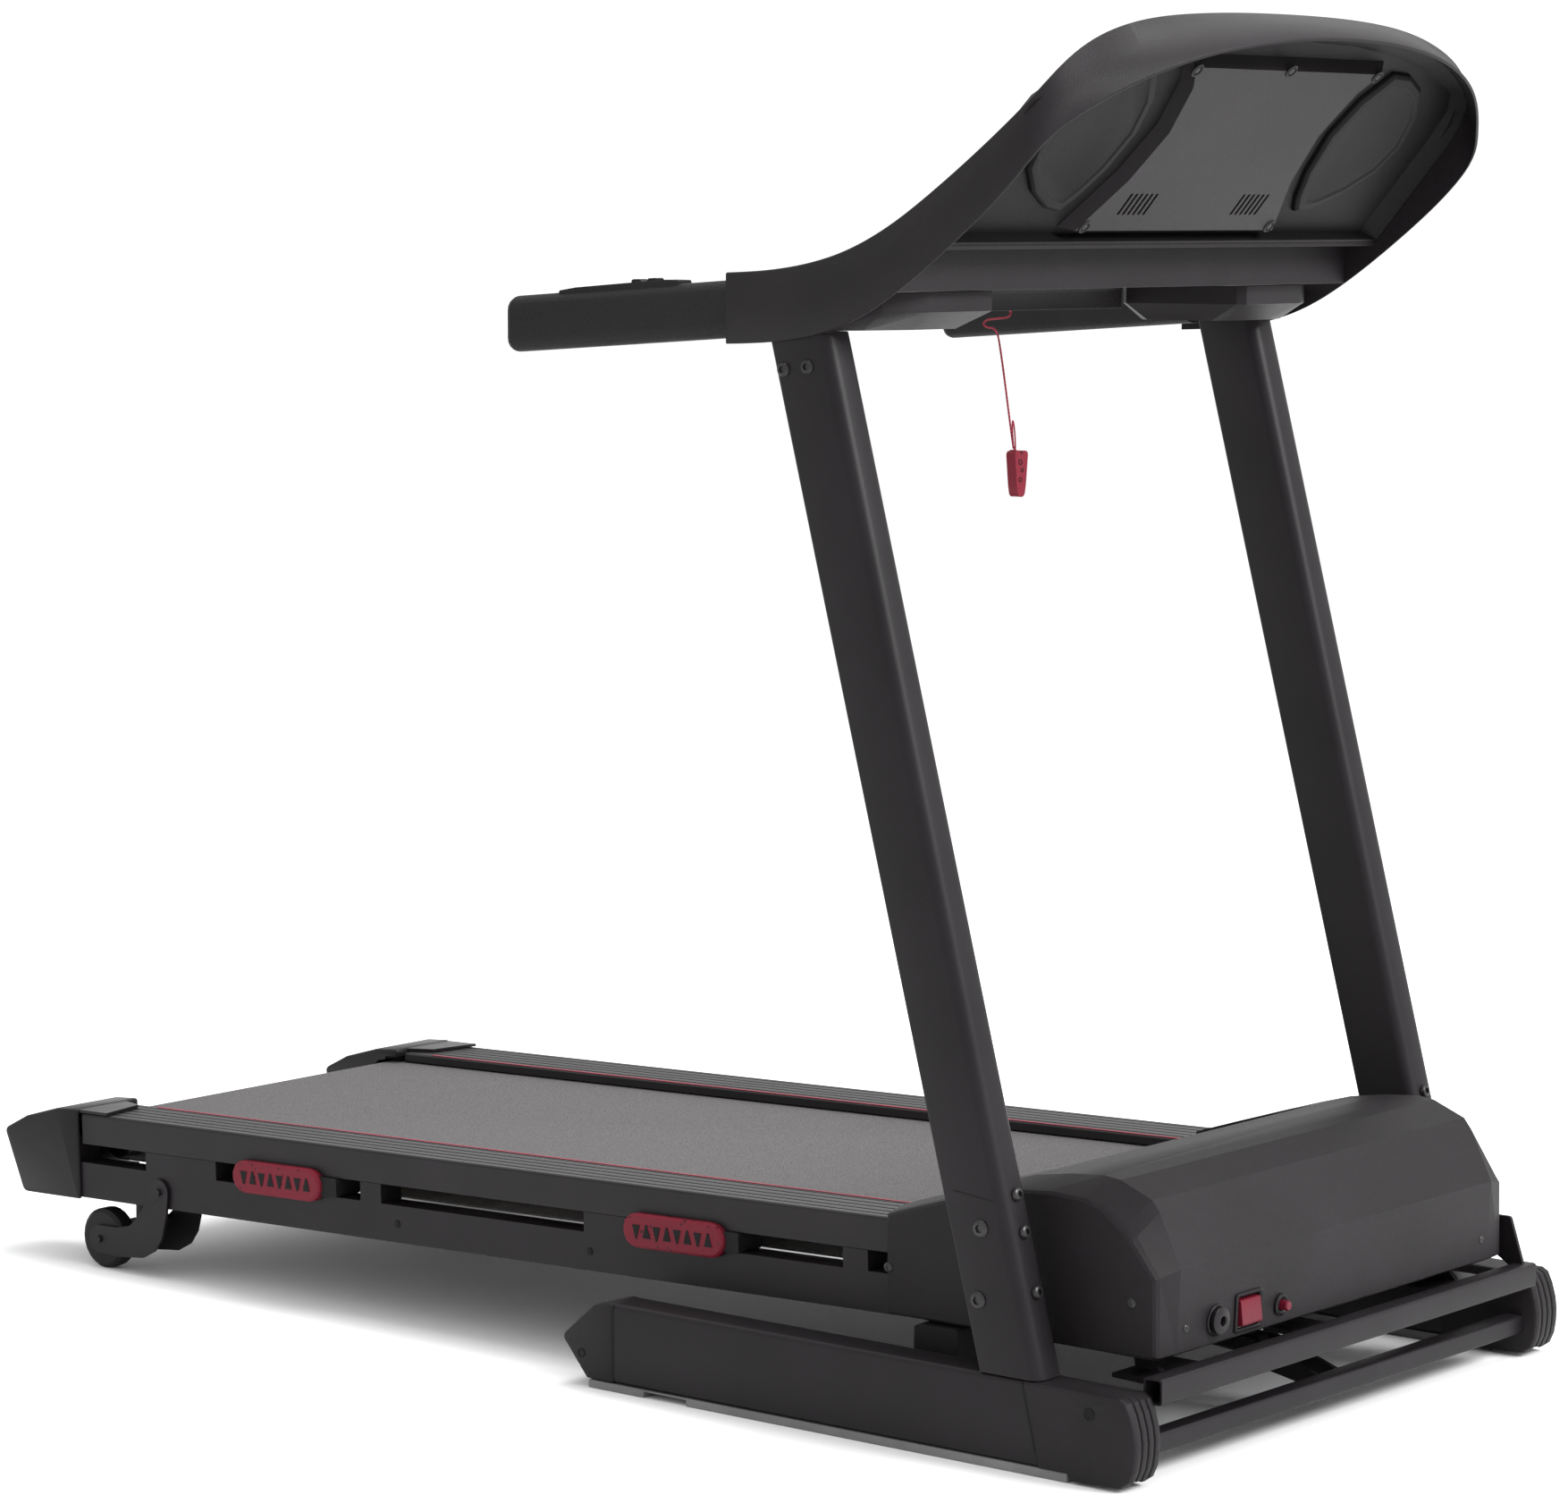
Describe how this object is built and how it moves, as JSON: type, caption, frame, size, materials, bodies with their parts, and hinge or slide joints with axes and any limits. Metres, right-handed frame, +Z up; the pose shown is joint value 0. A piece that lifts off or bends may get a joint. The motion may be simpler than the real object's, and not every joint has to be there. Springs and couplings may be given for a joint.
{
  "type": "folding treadmill",
  "caption": "Folding home treadmill: padded running deck under a motor hood, leaning uprights, handlebars with keys, oval console with cup holders, clip-on safety cord.",
  "frame": {"origin": "centre of the footprint, on the floor", "axes": "+Z up, +Y from the motor end to the step-on end, +X to the left of a user who faces the console"},
  "size_m": [0.727, 1.5486, 1.2997],
  "materials": {
    "base_front_cap_left": "fine-textured black plastic",
    "base_front_cap_right": "fine-textured black plastic",
    "base_hinge_beam": "satin black powder coat",
    "base_lower_tube": "satin black powder coat",
    "base_rail_left": "satin black powder coat",
    "base_rail_right": "satin black powder coat",
    "base_rear_cap_left": "fine-textured black plastic",
    "base_rear_cap_right": "fine-textured black plastic",
    "console_back_cover": "fine-textured black plastic",
    "console_crossbar": "satin black powder coat",
    "console_face": "fine-textured black plastic",
    "console_shell": "fine-textured black plastic",
    "cup_tray_left": "fine-textured black plastic",
    "cup_tray_right": "fine-textured black plastic",
    "cushion_front_left": "speckled maroon rubber",
    "cushion_front_right": "speckled maroon rubber",
    "cushion_rear_left": "speckled maroon rubber",
    "cushion_rear_right": "speckled maroon rubber",
    "deck_crossbar": "satin black powder coat",
    "deck_frame_left": "satin black powder coat",
    "deck_frame_right": "satin black powder coat",
    "deck_rest_left": "matt black rubber",
    "deck_rest_right": "matt black rubber",
    "drive_belt": "matt black rubber",
    "drive_motor": "satin black powder coat",
    "end_cap_left": "fine-textured black plastic",
    "end_cap_right": "fine-textured black plastic",
    "foot_rail_left": "fine-textured black plastic",
    "foot_rail_right": "fine-textured black plastic",
    "foot_strip_left": "grey rubber",
    "foot_strip_right": "grey rubber",
    "foot_wheel_left": "matt black rubber",
    "foot_wheel_right": "matt black rubber",
    "front_roller": "bright turned steel",
    "handlebar_key_left": "fine-textured black plastic",
    "handlebar_key_right": "fine-textured black plastic",
    "handlebar_left": "matt black rubber",
    "handlebar_right": "matt black rubber",
    "motor_flywheel": "bright turned steel",
    "motor_hood": "fine-textured black plastic",
    "motor_tray": "satin black powder coat",
    "power_inlet": "fine-textured black plastic",
    "power_switch": "red moulded plastic",
    "rear_foot_left": "satin black powder coat",
    "rear_foot_right": "satin black powder coat",
    "rear_roller": "bright turned steel",
    "reset_button": "red moulded plastic",
    "running_board": "coated fibre board",
    "safety_clip": "red moulded plastic",
    "safety_cord": "woven red cord",
    "safety_key": "red moulded plastic",
    "start_key": "fine-textured black plastic",
    "stop_key": "fine-textured black plastic",
    "strut_cylinder": "satin black powder coat",
    "strut_rod": "bright turned steel",
    "transport_wheel_left": "matt black rubber",
    "transport_wheel_right": "matt black rubber",
    "upright_left": "satin black powder coat",
    "upright_right": "satin black powder coat",
    "walking_belt": "fine-grained belt rubber"
  },
  "bodies": {
    "base": {"base_front_cap_left": "base_front_cap_left", "base_front_cap_right": "base_front_cap_right", "base_hinge_beam": "base_hinge_beam", "base_lower_tube": "base_lower_tube", "base_rail_left": "base_rail_left", "base_rail_right": "base_rail_right", "base_rear_cap_left": "base_rear_cap_left", "base_rear_cap_right": "base_rear_cap_right", "console_back_cover": "console_back_cover", "console_crossbar": "console_crossbar", "console_face": "console_face", "console_shell": "console_shell", "cup_tray_left": "cup_tray_left", "cup_tray_right": "cup_tray_right", "deck_rest_left": "deck_rest_left", "deck_rest_right": "deck_rest_right", "foot_strip_left": "foot_strip_left", "foot_strip_right": "foot_strip_right", "handlebar_left": "handlebar_left", "handlebar_right": "handlebar_right", "upright_left": "upright_left", "upright_right": "upright_right"},
    "deck": {"deck_frame_left": "deck_frame_left", "deck_frame_right": "deck_frame_right", "deck_crossbar": "deck_crossbar", "motor_tray": "motor_tray", "running_board": "running_board", "walking_belt": "walking_belt", "drive_motor": "drive_motor", "drive_belt": "drive_belt", "foot_rail_left": "foot_rail_left", "foot_rail_right": "foot_rail_right", "cushion_front_left": "cushion_front_left", "cushion_front_right": "cushion_front_right", "cushion_rear_left": "cushion_rear_left", "cushion_rear_right": "cushion_rear_right", "end_cap_left": "end_cap_left", "end_cap_right": "end_cap_right", "motor_hood": "motor_hood", "power_inlet": "power_inlet"},
    "transport_wheel_left": {"transport_wheel_left": "transport_wheel_left"},
    "transport_wheel_right": {"transport_wheel_right": "transport_wheel_right"},
    "start_key": {"start_key": "start_key"},
    "stop_key": {"stop_key": "stop_key"},
    "safety_key": {"safety_key": "safety_key", "safety_cord": "safety_cord", "safety_clip": "safety_clip"},
    "handlebar_key_left": {"handlebar_key_left": "handlebar_key_left"},
    "handlebar_key_right": {"handlebar_key_right": "handlebar_key_right"},
    "front_roller": {"front_roller": "front_roller"},
    "rear_roller": {"rear_roller": "rear_roller"},
    "motor_flywheel": {"motor_flywheel": "motor_flywheel"},
    "power_switch": {"power_switch": "power_switch"},
    "reset_button": {"reset_button": "reset_button"},
    "rear_foot_left": {"rear_foot_left": "rear_foot_left"},
    "rear_foot_right": {"rear_foot_right": "rear_foot_right"},
    "foot_wheel_left": {"foot_wheel_left": "foot_wheel_left"},
    "foot_wheel_right": {"foot_wheel_right": "foot_wheel_right"},
    "strut_cylinder": {"strut_cylinder": "strut_cylinder"},
    "strut_rod": {"strut_rod": "strut_rod"}
  },
  "joints": [
    {"name": "deck_fold", "type": "hinge", "parent": "base", "child": "deck", "pos_m": [0, -0.7395, 0.118], "axis": [1, 0, 0], "range_deg": [0, 56]},
    {"name": "transport_wheel_left_spin", "type": "hinge", "parent": "base", "child": "transport_wheel_left", "pos_m": [0, -0.7395, 0.0265], "axis": [1, 0, 0], "continuous": true},
    {"name": "transport_wheel_right_spin", "type": "hinge", "parent": "base", "child": "transport_wheel_right", "pos_m": [0, -0.7395, 0.0265], "axis": [1, 0, 0], "continuous": true},
    {"name": "start_key_press", "type": "slide", "parent": "base", "child": "start_key", "axis": [0, -0.7524, -0.6587], "range_m": [0, 0.0015], "stiffness_N_per_m": 400},
    {"name": "stop_key_press", "type": "slide", "parent": "base", "child": "stop_key", "axis": [0, -0.7524, -0.6587], "range_m": [0, 0.0015], "stiffness_N_per_m": 400},
    {"name": "safety_key_pull", "type": "slide", "parent": "base", "child": "safety_key", "axis": [0, 0.7524, 0.6587], "range_m": [0, 0.03]},
    {"name": "handlebar_key_left_tilt", "type": "hinge", "parent": "base", "child": "handlebar_key_left", "pos_m": [0, -0.196, 1.05235], "axis": [1, 0, 0], "range_deg": [-3, 3], "stiffness_Nm_per_rad": 0.5},
    {"name": "handlebar_key_right_tilt", "type": "hinge", "parent": "base", "child": "handlebar_key_right", "pos_m": [0, -0.196, 1.05235], "axis": [1, 0, 0], "range_deg": [-3, 3], "stiffness_Nm_per_rad": 0.5},
    {"name": "front_roller_spin", "type": "hinge", "parent": "deck", "child": "front_roller", "pos_m": [0, -0.58539, 0.16113], "axis": [1, 0, 0], "continuous": true},
    {"name": "rear_roller_spin", "type": "hinge", "parent": "deck", "child": "rear_roller", "pos_m": [0, 0.67415, 0.12701], "axis": [1, 0, 0], "continuous": true},
    {"name": "motor_spin", "type": "hinge", "parent": "deck", "child": "motor_flywheel", "pos_m": [0, -0.68531, 0.16564], "axis": [1, 0, 0], "continuous": true},
    {"name": "power_switch_rock", "type": "hinge", "parent": "deck", "child": "power_switch", "pos_m": [0, -0.7495, 0.1278], "axis": [1, 0, 0], "range_deg": [0, 8]},
    {"name": "reset_button_press", "type": "slide", "parent": "deck", "child": "reset_button", "axis": [0, 1, 0], "range_m": [0, 0.003], "stiffness_N_per_m": 300},
    {"name": "rear_foot_left_swing", "type": "hinge", "parent": "deck", "child": "rear_foot_left", "pos_m": [0, 0.5335, 0.094], "axis": [1, 0, 0], "range_deg": [-70, 0]},
    {"name": "foot_wheel_left_spin", "type": "hinge", "parent": "rear_foot_left", "child": "foot_wheel_left", "pos_m": [0, 0.6255, 0.0322], "axis": [1, 0, 0], "continuous": true},
    {"name": "rear_foot_right_swing", "type": "hinge", "parent": "deck", "child": "rear_foot_right", "pos_m": [0, 0.5335, 0.094], "axis": [1, 0, 0], "range_deg": [-70, 0]},
    {"name": "foot_wheel_right_spin", "type": "hinge", "parent": "rear_foot_right", "child": "foot_wheel_right", "pos_m": [0, 0.6255, 0.0322], "axis": [1, 0, 0], "continuous": true},
    {"name": "strut_swing", "type": "hinge", "parent": "base", "child": "strut_cylinder", "pos_m": [0, -0.6595, 0.055], "axis": [1, 0, 0], "range_deg": [0, 61]},
    {"name": "strut_extend", "type": "slide", "parent": "strut_cylinder", "child": "strut_rod", "axis": [0, 0.996, 0.0896], "range_m": [0, 0.09]}
  ],
  "couplings": [
    {"joint": "rear_roller_spin", "follows": "front_roller_spin", "ratio": 1},
    {"joint": "motor_spin", "follows": "front_roller_spin", "ratio": 2.125},
    {"joint": "strut_swing", "follows": "deck_fold", "ratio": 1.0749},
    {"joint": "strut_extend", "follows": "deck_fold", "m_per_rad": 0.0905}
  ]
}
